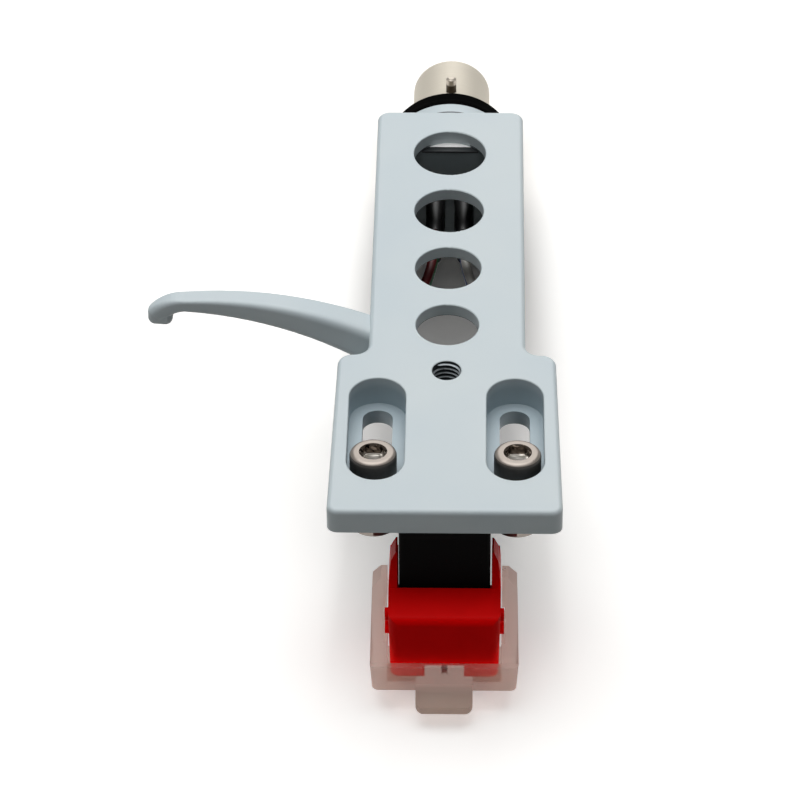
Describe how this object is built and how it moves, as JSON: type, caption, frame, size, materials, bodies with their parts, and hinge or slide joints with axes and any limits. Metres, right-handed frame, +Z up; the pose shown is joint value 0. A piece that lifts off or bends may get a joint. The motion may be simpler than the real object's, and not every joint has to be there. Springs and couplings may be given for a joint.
{
  "type": "turntable headshell with stylus cartridge",
  "caption": "White plug-in turntable headshell with finger lift and round windows, carrying a black cartridge with a red slide-off stylus holder and a translucent stylus guard.",
  "frame": {"origin": "on the bayonet tube's axis, at the rear face of the rubber washer", "axes": "+Y along the tube towards the tonearm, +Z up, +X to the right as seen from the front"},
  "size_m": [0.0391, 0.0809, 0.0253],
  "materials": {
    "shell_paint": "satin white paint on cast aluminium",
    "nickel": "satin nickel plate",
    "rubber": "matt black",
    "insulator": "matt black",
    "housing": "fine matt black",
    "pole_metal": "plain",
    "copper": "enamelled copper wire",
    "red_plastic": "glossy red",
    "cantilever_metal": "plain drawn tube",
    "diamond": "clear",
    "guard_plastic": "milky translucent",
    "contact_gold": "gold plate",
    "clip_metal": "tinned",
    "lead_left_hot": "white insulation",
    "lead_left_ground": "blue insulation",
    "lead_right_hot": "red insulation",
    "lead_right_ground": "green insulation"
  },
  "bodies": {
    "headshell": {"headshell_body": "shell_paint", "bayonet_tube": "nickel", "locating_pin": "nickel", "rubber_washer": "rubber", "tube_set_screw": "nickel", "contact_insulator": "insulator", "mounting_screws": "nickel", "mounting_nuts": "nickel", "cartridge_body": "housing", "terminal_plate": "housing", "pole_piece_left": "pole_metal", "pole_piece_right": "pole_metal", "coil_left": "copper", "coil_right": "copper", "contact_pin_left_hot": "contact_gold", "terminal_pin_left_hot": "contact_gold", "front_clip_left_hot": "clip_metal", "rear_clip_left_hot": "clip_metal", "lead_left_hot": "lead_left_hot", "contact_pin_left_ground": "contact_gold", "terminal_pin_left_ground": "contact_gold", "front_clip_left_ground": "clip_metal", "rear_clip_left_ground": "clip_metal", "lead_left_ground": "lead_left_ground", "contact_pin_right_hot": "contact_gold", "terminal_pin_right_hot": "contact_gold", "front_clip_right_hot": "clip_metal", "rear_clip_right_hot": "clip_metal", "lead_right_hot": "lead_right_hot", "contact_pin_right_ground": "contact_gold", "terminal_pin_right_ground": "contact_gold", "front_clip_right_ground": "clip_metal", "rear_clip_right_ground": "clip_metal", "lead_right_ground": "lead_right_ground"},
    "stylus_unit": {"stylus_holder": "red_plastic", "stylus_sleeve": "pole_metal", "damper": "rubber"},
    "cantilever_arm": {"cantilever": "cantilever_metal", "moving_magnet": "pole_metal", "stylus_tip": "diamond"},
    "guard": {"stylus_guard": "guard_plastic"}
  },
  "joints": [
    {"name": "stylus_pull", "type": "slide", "parent": "headshell", "child": "stylus_unit", "axis": [0, -1, 0], "range_m": [0, 0.012]},
    {"name": "cantilever_flex", "type": "hinge", "parent": "stylus_unit", "child": "cantilever_arm", "pos_m": [0, -0.05945, -0.0142], "axis": [1, 0, 0], "range_deg": [-2, 2], "stiffness_Nm_per_rad": 0.0025},
    {"name": "guard_pull", "type": "slide", "parent": "stylus_unit", "child": "guard", "axis": [0, -1, 0], "range_m": [0, 0.009]}
  ]
}
